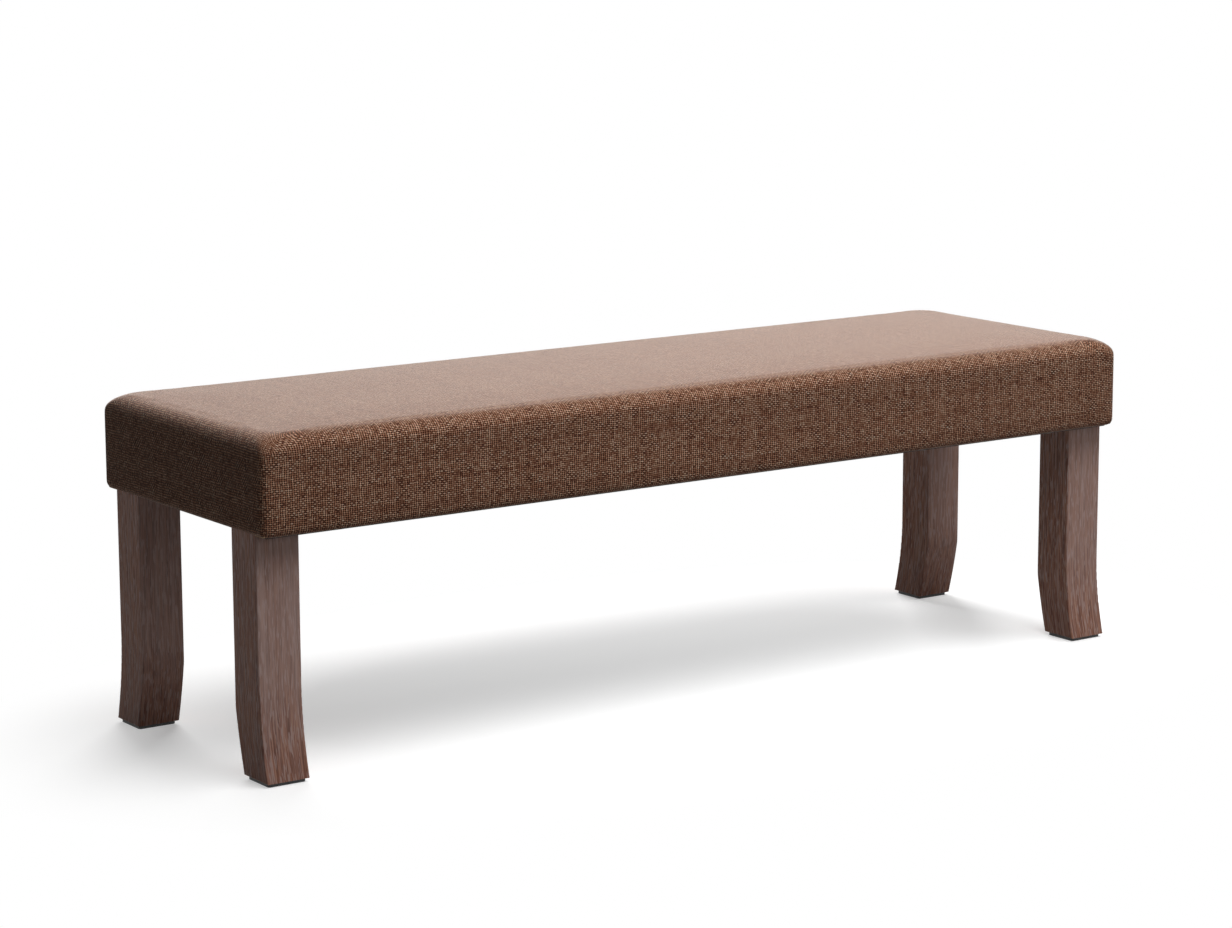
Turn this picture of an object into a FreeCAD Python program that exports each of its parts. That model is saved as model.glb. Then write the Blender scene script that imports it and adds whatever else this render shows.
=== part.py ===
"""Upholstered bench: a crowned, padded seat on a timber frame with four flared legs.

Millimetres, +Z up. The origin is on the floor under the middle of the seat.
+X runs along the bench and -Y is its front.
"""

import FreeCAD, Part
import Sketcher
import math
import os

SIZES = {
    # the covered seat as a whole
    "seat_length": 1500,
    "seat_width": 455,
    "seat_height": 474,
    "seat_thickness": 138,
    # the rounding of the covered seat
    "top_edge_reach": 26,
    "top_edge_drop": 24,
    "bottom_edge_radius": 10,
    "upright_corner_radius": 10,
    "top_corner_radius": 40,
    "bottom_corner_radius": 6,
    "crown_height": 3,
    # the layers of upholstery
    "cover_thickness": 1.2,
    "wadding_thickness": 3.5,
    "layer_clearance": 0.15,
    "hessian_thickness": 0.8,
    "hem_width": 34,
    "dust_cover_thickness": 0.6,
    "dust_cover_inset": 12,
    "hem_notch_clearance": 0.5,
    "dust_notch_clearance": 1,
    # the rails
    "rail_thickness": 24,
    "rail_depth": 75,
    "cross_rail_thickness": 24,
    "cross_rail_depth": 60,
    # the legs
    "leg_width": 65,
    "leg_depth": 66,
    "leg_top_gap": 6,
    "leg_edge_radius": 2,
    "outer_flare": 17.5,
    "outer_flare_height": 135,
    "inner_flare": 20,
    "inner_flare_height": 94,
    "inner_flare_bow": 1.2,
    "inner_blend_radius": 60,
    # the corner blocks
    "leg_corner_cut": 14,
    "block_thickness": 25,
    "block_height": 60,
    "block_lift": 3,
    # the hanger bolts
    "bolt_diameter": 8,
    "bolt_depth": 48,
    "bolt_end": 5,
    "bolt_taper": 6,
    "washer_diameter": 20,
    "washer_thickness": 1.6,
    "nut_diameter": 15,
    "nut_height": 6.5,
    # the dowels of the end rails
    "dowel_diameter": 8,
    "dowel_length": 40,
    "dowel_bottom_distance": 20,
    "dowel_top_distance": 10,
    # the wood screws
    "screw_diameter": 4.5,
    "screw_head_diameter": 9,
    "screw_head_height": 3,
    "screw_taper": 5,
    "block_screw_length": 42,
    "block_screw_edge": 18,
    "block_screw_pitch": 36,
    "rail_screw_length": 60,
    "rail_screw_pitch": 30,
    # the webbing
    "strap_width": 70,
    "strap_thickness": 1.5,
    "strap_end_gap": 3,
    "strap_lap": 6,
    # the staples
    "staple_width": 10,
    "staple_depth": 7,
    "staple_wire": 0.6,
    "strap_staple_pitch": 36,
    "strap_staple_edge": 10,
    "hem_staple_edge": 20,
    "hem_staple_pitch": 100,
    "dust_staple_edge": 14.4,
    "dust_staple_pitch": 125,
    # the glides
    "glide_thickness": 5,
    "glide_inset": 4,
    "glide_corner_radius": 4,
    "nail_diameter": 2.5,
    "nail_length": 20,
    "nail_head_diameter": 7,
    "nail_head_height": 1.2,
    "nail_recess": 1.5,
    "nail_pitch": 26,
    # how far a cutting tool reaches past what it cuts
    "tool_overrun": 10,
}

CROSS_STRAP_COUNT = 9
LONG_STRAP_COUNT = 2
CROSS_RAILS = ("left_cross_rail", "middle_cross_rail", "right_cross_rail")
CORNERS = {
    "front_left": (-1, -1),
    "front_right": (1, -1),
    "back_left": (-1, 1),
    "back_right": (1, 1),
}
SIDES = {"front": -1, "back": 1}
ENDS = {"left": -1, "right": 1}
ROUNDING_STEPS = 6
CROWN_STEPS = 3
CROWN_FLAT_SHARE = 0.25
DIAGONAL = math.sqrt(2)
POINT_SHARE = 0.25
UP = FreeCAD.Vector(0, 0, 1)
SAME_PLACE = 0.01
NEARLY_ALONG = math.cos(math.radians(1))

doc = FreeCAD.newDocument("upholstered_bench")
sheet = doc.addObject("Spreadsheet::Sheet", "Size")
sub_parts = []


class Measure:
    """A length held both as a number and as the expression that binds an object to the sheet."""

    def __init__(self, text, number):
        self.text = text
        self.number = number

    def joined(self, sign, other, number):
        return Measure(f"({self.text} {sign} {measure(other).text})", number)

    def __add__(self, other):
        return self.joined("+", other, self.number + measure(other).number)

    def __sub__(self, other):
        return self.joined("-", other, self.number - measure(other).number)

    def __mul__(self, other):
        return self.joined("*", other, self.number * measure(other).number)

    def __truediv__(self, other):
        return self.joined("/", other, self.number / measure(other).number)

    def __radd__(self, other):
        return measure(other) + self

    def __rsub__(self, other):
        return measure(other) - self

    def __rmul__(self, other):
        return measure(other) * self

    def __neg__(self):
        return self * -1


def measure(value):
    """A plain number as a Measure, or the Measure itself."""
    if isinstance(value, Measure):
        return value
    return Measure(f"({value})", value)


def fill_sheet():
    """Write the driving sizes to the sheet, and read each one back from it as a Measure."""
    for row, (name, value) in enumerate(SIZES.items(), start=1):
        sheet.set(f"A{row}", name)
        sheet.set(f"B{row}", str(value))
        sheet.setAlias(f"B{row}", name)
    doc.recompute()
    return {name: Measure(f"Size.{name}", float(sheet.get(name))) for name in SIZES}


size = fill_sheet()

# levels, from the floor up
underside = size["seat_height"] - size["seat_thickness"]
rail_bottom = underside + size["cover_thickness"]
rail_top = rail_bottom + size["rail_depth"]
leg_top = rail_top - size["leg_top_gap"]
block_bottom = rail_bottom + size["block_lift"]
block_middle = block_bottom + size["block_height"] / 2
strap_top = rail_top + size["strap_thickness"]
hessian_bottom = strap_top + size["strap_thickness"] + size["layer_clearance"] * 2
foam_bottom = hessian_bottom + size["hessian_thickness"] + size["layer_clearance"]
dust_cover_top = underside - size["staple_wire"]
dust_cover_bottom = dust_cover_top - size["dust_cover_thickness"]

# places, from the middle of the seat outwards
half_length = size["seat_length"] / 2
half_width = size["seat_width"] / 2
skin = size["cover_thickness"] + size["wadding_thickness"] + size["layer_clearance"] * 2
frame_half_length = half_length - skin
frame_half_width = half_width - skin
side_rail_inner = frame_half_width - size["rail_thickness"]
end_rail_inner = frame_half_length - size["rail_thickness"]
leg_inner_x = frame_half_length - size["leg_width"]
leg_inner_y = side_rail_inner - size["leg_depth"]
leg_middle_x = frame_half_length - size["leg_width"] / 2
leg_middle_y = side_rail_inner - size["leg_depth"] / 2
foot_shift = (size["outer_flare"] + size["inner_flare"]) / 2
foot_depth = size["leg_depth"] + size["outer_flare"] - size["inner_flare"]
foot_middle_y = leg_middle_y + foot_shift
block_line = leg_inner_x + leg_inner_y + size["leg_corner_cut"]


def bind(item, path, value):
    item.setExpression(path, measure(value).text)


def place(item, x, y, z):
    """Bind an object's position to the sheet, leaving its rotation as it is."""
    for axis, value in zip("xyz", (x, y, z)):
        bind(item, f"Placement.Base.{axis}", value)


def add_sub_part(item, node):
    """Count an object as a finished sub-part, under its node's name."""
    item.Label = node
    sub_parts.append(item)
    return item


def box(name, low, high):
    """A box between two opposite corners."""
    item = doc.addObject("Part::Box", name)
    for path, start, end in zip(("Length", "Width", "Height"), low, high):
        bind(item, path, end - start)
    place(item, *low)
    return item


def centred_box(name, middle, full, bottom, top):
    """A box centred in plan on a point, between two levels."""
    low = [point - width / 2 for point, width in zip(middle, full)]
    high = [point + width / 2 for point, width in zip(middle, full)]
    return box(name, (*low, bottom), (*high, top))


def cut(name, base, *tools):
    """The base with every tool taken out of it."""
    item = base
    for number, tool in enumerate(tools, start=1):
        taken = doc.addObject("Part::Cut", f"{name}_cut_{number}")
        taken.Base = item
        taken.Tool = tool
        item = taken
    return item


def bore_for(node, base, *groups):
    """The base with a hole for every fastener that reaches it, as a finished sub-part."""
    doc.recompute()
    bounds = base.Shape.BoundBox
    near = [solid for item in groups for solid in item.Shape.Solids if bounds.intersect(solid.BoundBox)]
    return add_sub_part(cut(node, base, form_object(f"{node}_fasteners", Part.makeCompound(near))), node)


def form_object(name, shape):
    item = doc.addObject("Part::Feature", name)
    item.Shape = shape
    return item


def outline(body, plane_role, name, corners, arcs=None):
    """A closed sketch through its corners: each is bound in both directions, arcs by radius too.

    arcs gives, for the side that starts at a corner's number, its radius and the sign of its bow.
    """
    arcs = arcs or {}
    sketch = body.newObject("Sketcher::SketchObject", name)
    plane = [item for item in body.Origin.OriginFeatures if item.Role == plane_role][0]
    sketch.AttachmentSupport = (plane, [""])
    sketch.MapMode = "FlatFace"
    points = [FreeCAD.Vector(across.number, along.number, 0) for across, along in corners]
    starts, ends = [], []
    for number, start in enumerate(points):
        end = points[(number + 1) % len(points)]
        if number in arcs:
            radius, bow_sign = arcs[number]
            side = sketch.addGeometry(shallow_arc(start, end, radius.number, bow_sign))
        else:
            side = sketch.addGeometry(Part.LineSegment(start, end))
        runs_forward = (sketch.getPoint(side, 1) - start).Length < (sketch.getPoint(side, 2) - start).Length
        starts.append((side, 1 if runs_forward else 2))
        ends.append((side, 2 if runs_forward else 1))
    add_constraints(sketch, corners, starts, ends)
    for number, (radius, _) in arcs.items():
        constrain(sketch, "Radius", (starts[number][0],), radius)
    return sketch


def shallow_arc(start, end, radius, bow_sign):
    """The short arc of a given radius between two points, bowed to one side of its chord."""
    chord = end - start
    bow = radius - math.sqrt(radius ** 2 - (chord.Length / 2) ** 2)
    across = FreeCAD.Vector(-chord.y, chord.x, 0).normalize() * bow * bow_sign
    return Part.Arc(start, (start + end) * 0.5 + across, end)


def constrain(sketch, kind, places, value):
    """Add a dimension to a sketch and bind it to the sheet."""
    number = sketch.addConstraint(Sketcher.Constraint(kind, *places, value.number))
    bind(sketch, f"Constraints[{number}]", value)


def add_constraints(sketch, corners, starts, ends):
    """Join a sketch's sides end to end and tie every corner to the sketch's origin."""
    origin = (-1, 1)
    for number, start in enumerate(starts):
        sketch.addConstraint(Sketcher.Constraint("Coincident", *ends[number - 1], *start))
        constrain(sketch, "DistanceX", (*origin, *start), corners[number][0])
        constrain(sketch, "DistanceY", (*origin, *start), corners[number][1])


def pad(body, sketch, length, both_ways=False):
    """Thicken a sketch, upwards from its plane or to both sides of it."""
    feature = body.newObject("PartDesign::Pad", f"{sketch.Name}_pad")
    feature.Profile = sketch
    bind(feature, "Length", length)
    feature.SideType = "Symmetric" if both_ways else "One side"
    doc.recompute()
    return feature


def new_body(name):
    return doc.addObject("PartDesign::Body", name)


def faces_along(shape, direction):
    """The names of the flat faces whose normals lie along a direction, either way."""
    names = []
    for number, face in enumerate(shape.Faces, start=1):
        normal = face.normalAt(*face.Surface.parameter(face.CenterOfMass))
        is_flat = isinstance(face.Surface, Part.Plane)
        if is_flat and abs(normal.dot(direction)) > NEARLY_ALONG:
            names.append(f"Face{number}")
    return names


def fillet(body, feature, names, radius):
    rounded = body.newObject("PartDesign::Fillet", f"{feature.Name}_fillet")
    rounded.Base = (feature, names)
    bind(rounded, "Radius", radius)
    doc.recompute()
    return rounded


def level_edges(shape, level):
    """The names of the edges that lie wholly at one level."""
    return [
        f"Edge{number}" for number, edge in enumerate(shape.Edges, start=1)
        if all(abs(vertex.Z - level.number) < SAME_PLACE for vertex in edge.Vertexes)
    ]


def upright_edges(shape):
    """The names of the straight edges that stand upright."""
    names = []
    for number, edge in enumerate(shape.Edges, start=1):
        ends = [vertex.Point for vertex in edge.Vertexes]
        if len(ends) == 2 and abs((ends[1] - ends[0]).normalize().dot(UP)) > NEARLY_ALONG:
            names.append(f"Edge{number}")
    return names


# fasteners: one model of each, and groups of its copies


def round_shaft(name, diameter, length, taper):
    """A shaft that stands on the origin and tapers to a point at its top."""
    shank = doc.addObject("Part::Cylinder", f"{name}_shank")
    bind(shank, "Radius", diameter / 2)
    bind(shank, "Height", length - taper)
    tip = doc.addObject("Part::Cone", f"{name}_tip")
    bind(tip, "Radius1", diameter / 2)
    bind(tip, "Radius2", diameter / 2 * POINT_SHARE)
    bind(tip, "Height", taper)
    place(tip, 0, 0, length - taper)
    return fuse(name, shank, tip)


def fuse(name, *pieces):
    item = doc.addObject("Part::MultiFuse", name)
    item.Shapes = list(pieces)
    item.Refine = True
    return item


def screw_model(name, length):
    """A countersunk screw: its head's face is on the origin, its point towards +Z."""
    shaft = round_shaft(f"{name}_shaft", size["screw_diameter"], length, size["screw_taper"])
    head = doc.addObject("Part::Cone", f"{name}_head")
    bind(head, "Radius1", size["screw_head_diameter"] / 2)
    bind(head, "Radius2", size["screw_diameter"] / 2)
    bind(head, "Height", size["screw_head_height"])
    return fuse(name, shaft, head)


def ring(name, diameter, height, bore, sides=None):
    """A washer, or a nut where it has a number of sides."""
    outer = doc.addObject("Part::Prism" if sides else "Part::Cylinder", f"{name}_outer")
    if sides:
        outer.Polygon = sides
        bind(outer, "Circumradius", diameter / 2)
    else:
        bind(outer, "Radius", diameter / 2)
    bind(outer, "Height", height)
    hole = doc.addObject("Part::Cylinder", f"{name}_hole")
    bind(hole, "Radius", bore / 2)
    bind(hole, "Height", height)
    return cut(name, outer, hole)


def staple_model():
    """A staple with its crown under the origin and its two points towards +Z."""
    width, depth, wire = size["staple_width"], size["staple_depth"], size["staple_wire"]
    crown = centred_box("staple_crown", (measure(0), measure(0)), (width, wire), -wire, measure(0))
    points = [
        centred_box(f"staple_{end}_leg", (side * (width - wire) / 2, measure(0)), (wire, wire), -wire, depth)
        for end, side in ENDS.items()
    ]
    return fuse("staple_model", crown, *points)


def nail_model():
    """A nail whose head is on the origin and whose point is towards +Z."""
    shaft = round_shaft("nail_shaft", size["nail_diameter"], size["nail_length"], size["nail_diameter"])
    head = doc.addObject("Part::Cylinder", "nail_head")
    bind(head, "Radius", size["nail_head_diameter"] / 2)
    bind(head, "Height", size["nail_head_height"])
    return fuse("nail_model", shaft, head)


def dowel_model():
    """A plain round dowel with its middle on the origin."""
    dowel = doc.addObject("Part::Cylinder", "dowel_model")
    bind(dowel, "Radius", size["dowel_diameter"] / 2)
    bind(dowel, "Height", size["dowel_length"])
    place(dowel, 0, 0, -size["dowel_length"] / 2)
    return dowel


def spot(x, y, z, direction=UP, turn=0):
    """A place for a fastener: its point, the way it is driven, and a turn about that."""
    point = FreeCAD.Vector(*(measure(value).number for value in (x, y, z)))
    return FreeCAD.Placement(point, FreeCAD.Rotation(UP, direction) * FreeCAD.Rotation(UP, turn))


def group(node, model, spots):
    """Copies of one fastener at their places, as separate solids in one sub-part."""
    doc.recompute()
    copies = []
    for where in spots:
        fastener = model.Shape.copy()
        fastener.Placement = where * fastener.Placement
        copies.append(fastener)
    return add_sub_part(form_object(node, Part.makeCompound(copies)), node)


def outward(side_x, side_y):
    """The level direction from the middle of the bench towards one corner."""
    return FreeCAD.Vector(side_x, side_y, 0).normalize()


def bolt_spots(back_off):
    """The four places on the leg bolts' axes, a distance inwards from the cut corner of the leg."""
    reach_x = leg_inner_x + size["leg_corner_cut"] / 2 - back_off / DIAGONAL
    reach_y = leg_inner_y + size["leg_corner_cut"] / 2 - back_off / DIAGONAL
    return [
        spot(side_x * reach_x, side_y * reach_y, block_middle, outward(side_x, side_y))
        for side_x, side_y in CORNERS.values()
    ]


def make_leg_bolts():
    through_block = size["block_thickness"]
    under_nut = through_block + size["washer_thickness"]
    end = under_nut + size["nut_height"] + size["bolt_end"]
    model = round_shaft("bolt_model", size["bolt_diameter"], end + size["bolt_depth"], size["bolt_taper"])
    washer = ring("washer_model", size["washer_diameter"], size["washer_thickness"], size["bolt_diameter"])
    nut = ring("nut_model", size["nut_diameter"], size["nut_height"], size["bolt_diameter"], sides=6)
    bolts = group("leg_hanger_bolts", model, bolt_spots(end))
    group("leg_bolt_washers", washer, bolt_spots(under_nut))
    group("leg_bolt_nuts", nut, bolt_spots(under_nut + size["nut_height"]))
    return bolts


def block_screw_spots():
    """Two screws at each end of each corner block, square to its inner face."""
    inner_line = block_line - size["block_thickness"] * DIAGONAL
    edge = size["block_screw_edge"] / DIAGONAL
    beside_rail = (inner_line - side_rail_inner + edge, side_rail_inner - edge)
    beside_end = (end_rail_inner - edge, inner_line - end_rail_inner + edge)
    spots = []
    for side_x, side_y in CORNERS.values():
        for reach_x, reach_y in (beside_rail, beside_end):
            for step in (-1, 1):
                height = block_middle + step * size["block_screw_pitch"] / 2
                spots.append(spot(side_x * reach_x, side_y * reach_y, height, outward(side_x, side_y)))
    return spots


def rail_screw_spots():
    """Two screws through the front or the back rail into each end of each cross rail."""
    spots = []
    for side_y in SIDES.values():
        for x in cross_rail_places():
            for step_z in (-1, 1):
                z = rail_bottom + size["cross_rail_depth"] / 2 + step_z * size["rail_screw_pitch"] / 2
                spots.append(spot(x, side_y * frame_half_width, z, FreeCAD.Vector(0, -side_y, 0)))
    return spots


def dowel_spots():
    """Two dowels between each end of each end rail and the leg beside it."""
    x = frame_half_length - size["rail_thickness"] / 2
    heights = (rail_bottom + size["dowel_bottom_distance"], leg_top - size["dowel_top_distance"])
    return [
        spot(side_x * x, side_y * leg_inner_y, height, FreeCAD.Vector(0, side_y, 0))
        for side_x, side_y in CORNERS.values()
        for height in heights
    ]


def strap_staple_spots():
    """Two staples at each end of each strap, driven down into the rail."""
    down = FreeCAD.Vector(0, 0, -1)
    spots = []
    for step in (-1, 1):
        aside = step * size["strap_staple_pitch"] / 2
        for x in cross_strap_places():
            for side in SIDES.values():
                y = side * (frame_half_width - size["strap_staple_edge"])
                spots.append(spot(x + aside, y, strap_top, down))
        for y in long_strap_places():
            for side in ENDS.values():
                x = side * (frame_half_length - size["strap_staple_edge"])
                spots.append(spot(x, y + aside, strap_top, down, turn=90))
    return spots


def row_of(count, pitch):
    """Places in a row, a pitch apart, centred on zero."""
    return [(number - (count - 1) / 2) * pitch for number in range(count)]


def spread(count, reach):
    """Places that divide the span between two rails evenly, from its half length."""
    return row_of(count, reach * 2 / (count + 1))


def cross_strap_places():
    return spread(CROSS_STRAP_COUNT, end_rail_inner)


def long_strap_places():
    return spread(LONG_STRAP_COUNT, side_rail_inner)


def cross_rail_places():
    return spread(len(CROSS_RAILS), end_rail_inner)


def edge_staple_spots(level, edge, pitch):
    """Staples driven up into the rails' undersides, all round, a staple's width clear of the legs."""
    spots = []
    x_room = (leg_inner_x - size["staple_width"]) * 2
    y_room = (leg_inner_y - size["staple_width"]) * 2
    for side in SIDES.values():
        for x in row_of(int(x_room.number // pitch.number) + 1, pitch):
            spots.append(spot(x, side * (half_width - edge), level))
    for side in ENDS.values():
        for y in row_of(int(y_room.number // pitch.number) + 1, pitch):
            spots.append(spot(side * (half_length - edge), y, level, turn=90))
    return spots


def nail_offsets():
    return row_of(2, size["nail_pitch"])


def nail_spots():
    """Two nails up through each glide into the foot."""
    return [
        spot(side_x * leg_middle_x + aside, side_y * foot_middle_y, size["nail_recess"])
        for side_x, side_y in CORNERS.values()
        for aside in nail_offsets()
    ]


# the timber frame


def make_leg(corner, *fasteners):
    """One leg: straight inside the frame and down to the flare, then swept out to its foot."""
    side_x, side_y = CORNERS[corner]
    body = new_body(f"{corner}_leg_blank")
    outer, inner = side_y * size["leg_depth"] / 2, -side_y * size["leg_depth"] / 2
    foot = size["glide_thickness"]
    corners = [
        (outer, leg_top),
        (inner, leg_top),
        (inner, size["inner_flare_height"]),
        (inner + side_y * size["inner_flare"], foot),
        (outer + side_y * size["outer_flare"], foot),
        (outer, size["outer_flare_height"]),
    ]
    arcs = {2: (inner_flare_radius(), -side_y), 4: (outer_flare_radius(), side_y)}
    profile = outline(body, "YZ_Plane", f"{corner}_leg_profile", corners, arcs)
    blank = pad(body, profile, size["leg_width"], both_ways=True)
    bend = level_edges(blank.Shape, size["inner_flare_height"])
    blended = fillet(body, blank, bend, size["inner_blend_radius"])
    sides = faces_along(blended.Shape, FreeCAD.Vector(1, 0, 0))
    fillet(body, blended, sides, size["leg_edge_radius"])
    cut_leg_corner(body, corner)
    place(body, side_x * leg_middle_x, side_y * leg_middle_y, 0)
    bore_for(f"{corner}_leg", body, *fasteners)


def outer_flare_radius():
    """The radius of the outer sweep, whose arc leaves the straight leg without a bend."""
    height = size["outer_flare_height"] - size["glide_thickness"]
    return height * height / (size["outer_flare"] * 2) + size["outer_flare"] / 2


def inner_flare_radius():
    """The radius of the inner sweep, from its height, its reach and the bow of its arc."""
    height = size["inner_flare_height"] - size["glide_thickness"]
    chord_squared = height * height + size["inner_flare"] * size["inner_flare"]
    return chord_squared / (size["inner_flare_bow"] * 8) + size["inner_flare_bow"] / 2


def cut_leg_corner(body, corner):
    """Take the leg's inner corner off inside the frame, where the corner block bears."""
    side_x, side_y = CORNERS[corner]
    over = size["tool_overrun"]
    near_x = -side_x * size["leg_width"] / 2
    near_y = -side_y * size["leg_depth"] / 2
    reach = size["leg_corner_cut"] + over
    corners = [
        (near_x - side_x * over, near_y - side_y * over),
        (near_x + side_x * reach, near_y - side_y * over),
        (near_x - side_x * over, near_y + side_y * reach),
    ]
    sketch = outline(body, "XY_Plane", f"{corner}_leg_corner", corners)
    bind(sketch, "AttachmentOffset.Base.z", rail_bottom)
    doc.recompute()
    pocket = body.newObject("PartDesign::Pocket", f"{corner}_leg_corner_cut")
    pocket.Profile = sketch
    pocket.Type = "ThroughAll"
    pocket.Reversed = True
    doc.recompute()


def make_side_rail(side, *fasteners):
    """A long rail outside the legs, its lower outer edge rounded under the cover."""
    sign = SIDES[side]
    body = new_body(f"{side}_rail_blank")
    edge = size["bottom_edge_radius"] - skin
    corners = [
        (sign * side_rail_inner, rail_bottom),
        (sign * (frame_half_width - edge), rail_bottom),
        (sign * frame_half_width, rail_bottom + edge),
        (sign * frame_half_width, rail_top),
        (sign * side_rail_inner, rail_top),
    ]
    profile = outline(body, "YZ_Plane", f"{side}_rail_profile", corners, {1: (edge, -sign)})
    pad(body, profile, frame_half_length * 2, both_ways=True)
    bore_for(f"{side}_rail", body, *fasteners)


def make_end_rail(end, *fasteners):
    """A short rail between two legs, flush with their outer faces."""
    sign = ENDS[end]
    body = new_body(f"{end}_end_rail_blank")
    edge = size["bottom_edge_radius"] - skin
    corners = [
        (sign * end_rail_inner, rail_bottom),
        (sign * (frame_half_length - edge), rail_bottom),
        (sign * frame_half_length, rail_bottom + edge),
        (sign * frame_half_length, rail_top),
        (sign * end_rail_inner, rail_top),
    ]
    profile = outline(body, "XZ_Plane", f"{end}_end_rail_profile", corners, {1: (edge, -sign)})
    pad(body, profile, leg_inner_y * 2, both_ways=True)
    bore_for(f"{end}_end_rail", body, *fasteners)


def make_cross_rail(node, x, screws):
    """A rail across the middle, set low so that the webbing can sag over it."""
    full = (size["cross_rail_thickness"], side_rail_inner * 2)
    top = rail_bottom + size["cross_rail_depth"]
    blank = centred_box(f"{node}_blank", (x, measure(0)), full, rail_bottom, top)
    bore_for(node, blank, screws)


def make_corner_block(corner, *fasteners):
    """A block set diagonally from the long rail to the end rail, against the leg's cut corner."""
    side_x, side_y = CORNERS[corner]
    inner_line = block_line - size["block_thickness"] * DIAGONAL
    body = new_body(f"{corner}_corner_block_blank")
    reaches = [
        (block_line - side_rail_inner, side_rail_inner),
        (end_rail_inner, block_line - end_rail_inner),
        (end_rail_inner, inner_line - end_rail_inner),
        (inner_line - side_rail_inner, side_rail_inner),
    ]
    corners = [(side_x * reach_x, side_y * reach_y) for reach_x, reach_y in reaches]
    plan = outline(body, "XY_Plane", f"{corner}_corner_block_plan", corners)
    bind(plan, "AttachmentOffset.Base.z", block_bottom)
    pad(body, plan, size["block_height"])
    bore_for(f"{corner}_corner_block", body, *fasteners)


# the webbing


def make_cross_strap(number, x, staples):
    node = f"cross_strap_{number}"
    full = (size["strap_width"], (frame_half_width - size["strap_end_gap"]) * 2)
    blank = centred_box(f"{node}_blank", (x, measure(0)), full, rail_top, strap_top)
    bore_for(node, blank, staples)


def make_long_strap(number, y, staples):
    """A strap along the bench, woven over one cross strap and under the next."""
    node = f"long_strap_{number}"
    thickness = size["strap_thickness"].number
    over = strap_top.number + size["layer_clearance"].number
    under = rail_top.number - size["layer_clearance"].number - thickness
    flat = size["strap_width"].number / 2 + size["strap_lap"].number
    end = frame_half_length.number - size["strap_end_gap"].number
    route = [(-end, rail_top.number), (-end_rail_inner.number, rail_top.number)]
    for step, place_x in enumerate(cross_strap_places()):
        level = over if (step + number) % 2 else under
        route.append((place_x.number - flat, level))
        route.append((place_x.number + flat, level))
    route += [(end_rail_inner.number, rail_top.number), (end, rail_top.number)]
    edge = y.number - size["strap_width"].number / 2
    lower = [FreeCAD.Vector(x, edge, z) for x, z in route]
    upper = [FreeCAD.Vector(x, edge, z + thickness) for x, z in reversed(route)]
    section = Part.Face(Part.makePolygon(lower + upper + lower[:1]))
    blank = form_object(f"{node}_blank", section.extrude(FreeCAD.Vector(0, size["strap_width"].number, 0)))
    bore_for(node, blank, staples)


# the upholstery


def rounded_rectangle(reach_x, reach_y, radius, level):
    """A level closed wire of four straight sides and four quarter arcs."""
    sides = []
    middles = [(1, 1), (-1, 1), (-1, -1), (1, -1)]
    arcs = []
    for number, (sign_x, sign_y) in enumerate(middles):
        centre = FreeCAD.Vector(sign_x * (reach_x - radius), sign_y * (reach_y - radius), level)
        points = []
        for step in (0, 0.5, 1):
            angle = math.radians(90 * (number + step))
            points.append(centre + FreeCAD.Vector(math.cos(angle), math.sin(angle), 0) * radius)
        arcs.append(points)
    for number, points in enumerate(arcs):
        sides.append(Part.Arc(*points).toShape())
        sides.append(Part.LineSegment(points[-1], arcs[(number + 1) % len(arcs)][0]).toShape())
    return Part.Wire(sides)


def rounding(step):
    """How far a quarter round has drawn in and risen at one of its steps, as shares of one."""
    angle = math.radians(90 * step / ROUNDING_STEPS)
    return 1 - math.cos(angle), math.sin(angle)


def seat_form(inset, bottom, rounded_below):
    """The seat's form drawn in by an inset on every side: walls, rounded top edge and crown."""
    reach_x = half_length.number - inset
    reach_y = half_width.number - inset
    corner = size["upright_corner_radius"].number - inset
    top_corner = size["top_corner_radius"].number
    edge_reach = size["top_edge_reach"].number - inset
    edge_drop = size["top_edge_drop"].number - inset
    crown = size["crown_height"].number
    crown_top = size["seat_height"].number - inset
    wall_top = crown_top - crown - edge_drop
    top_sections = []
    for step in range(ROUNDING_STEPS + 1):
        drawn_in, risen = rounding(step)
        draw = edge_reach * drawn_in
        radius = corner + (top_corner - corner) * drawn_in
        top_sections.append(
            rounded_rectangle(reach_x - draw, reach_y - draw, radius, wall_top + edge_drop * risen))
    crown_sections = []
    crown_span = (reach_y - edge_reach) * (1 - CROWN_FLAT_SHARE)
    for step in range(CROWN_STEPS + 1):
        share = step / CROWN_STEPS
        draw = edge_reach + crown_span * share
        level = crown_top - crown * (1 - share) ** 2
        crown_sections.append(rounded_rectangle(reach_x - draw, reach_y - draw, top_corner, level))
    wall_bottom = bottom
    pieces = []
    if rounded_below:
        radius_below = size["bottom_edge_radius"].number - inset
        low_corner = size["bottom_corner_radius"].number
        wall_bottom = bottom + radius_below
        low_sections = []
        for step in range(ROUNDING_STEPS, -1, -1):
            drawn_in, risen = rounding(step)
            draw = radius_below * drawn_in
            radius = corner + (low_corner - corner) * drawn_in
            level = wall_bottom - radius_below * risen
            low_sections.append(rounded_rectangle(reach_x - draw, reach_y - draw, radius, level))
        pieces.append(Part.makeLoft(low_sections, True, False))
    wall = Part.Face(rounded_rectangle(reach_x, reach_y, corner, wall_bottom))
    pieces.append(wall.extrude(FreeCAD.Vector(0, 0, wall_top - wall_bottom)))
    pieces.append(Part.makeLoft(top_sections, True, False))
    pieces.append(Part.makeLoft(crown_sections, True, False))
    return pieces[0].fuse(pieces[1:]).removeSplitter()


def leg_notches(name, clearance, bottom, top):
    """Four upright boxes round the legs, for what is cut to fit them."""
    full = (size["leg_width"] + clearance * 2, size["leg_depth"] + clearance * 2)
    return fuse(name, *(
        centred_box(f"{name}_{corner}", (side_x * leg_middle_x, side_y * leg_middle_y), full, bottom, top)
        for corner, (side_x, side_y) in CORNERS.items()
    ))


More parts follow.
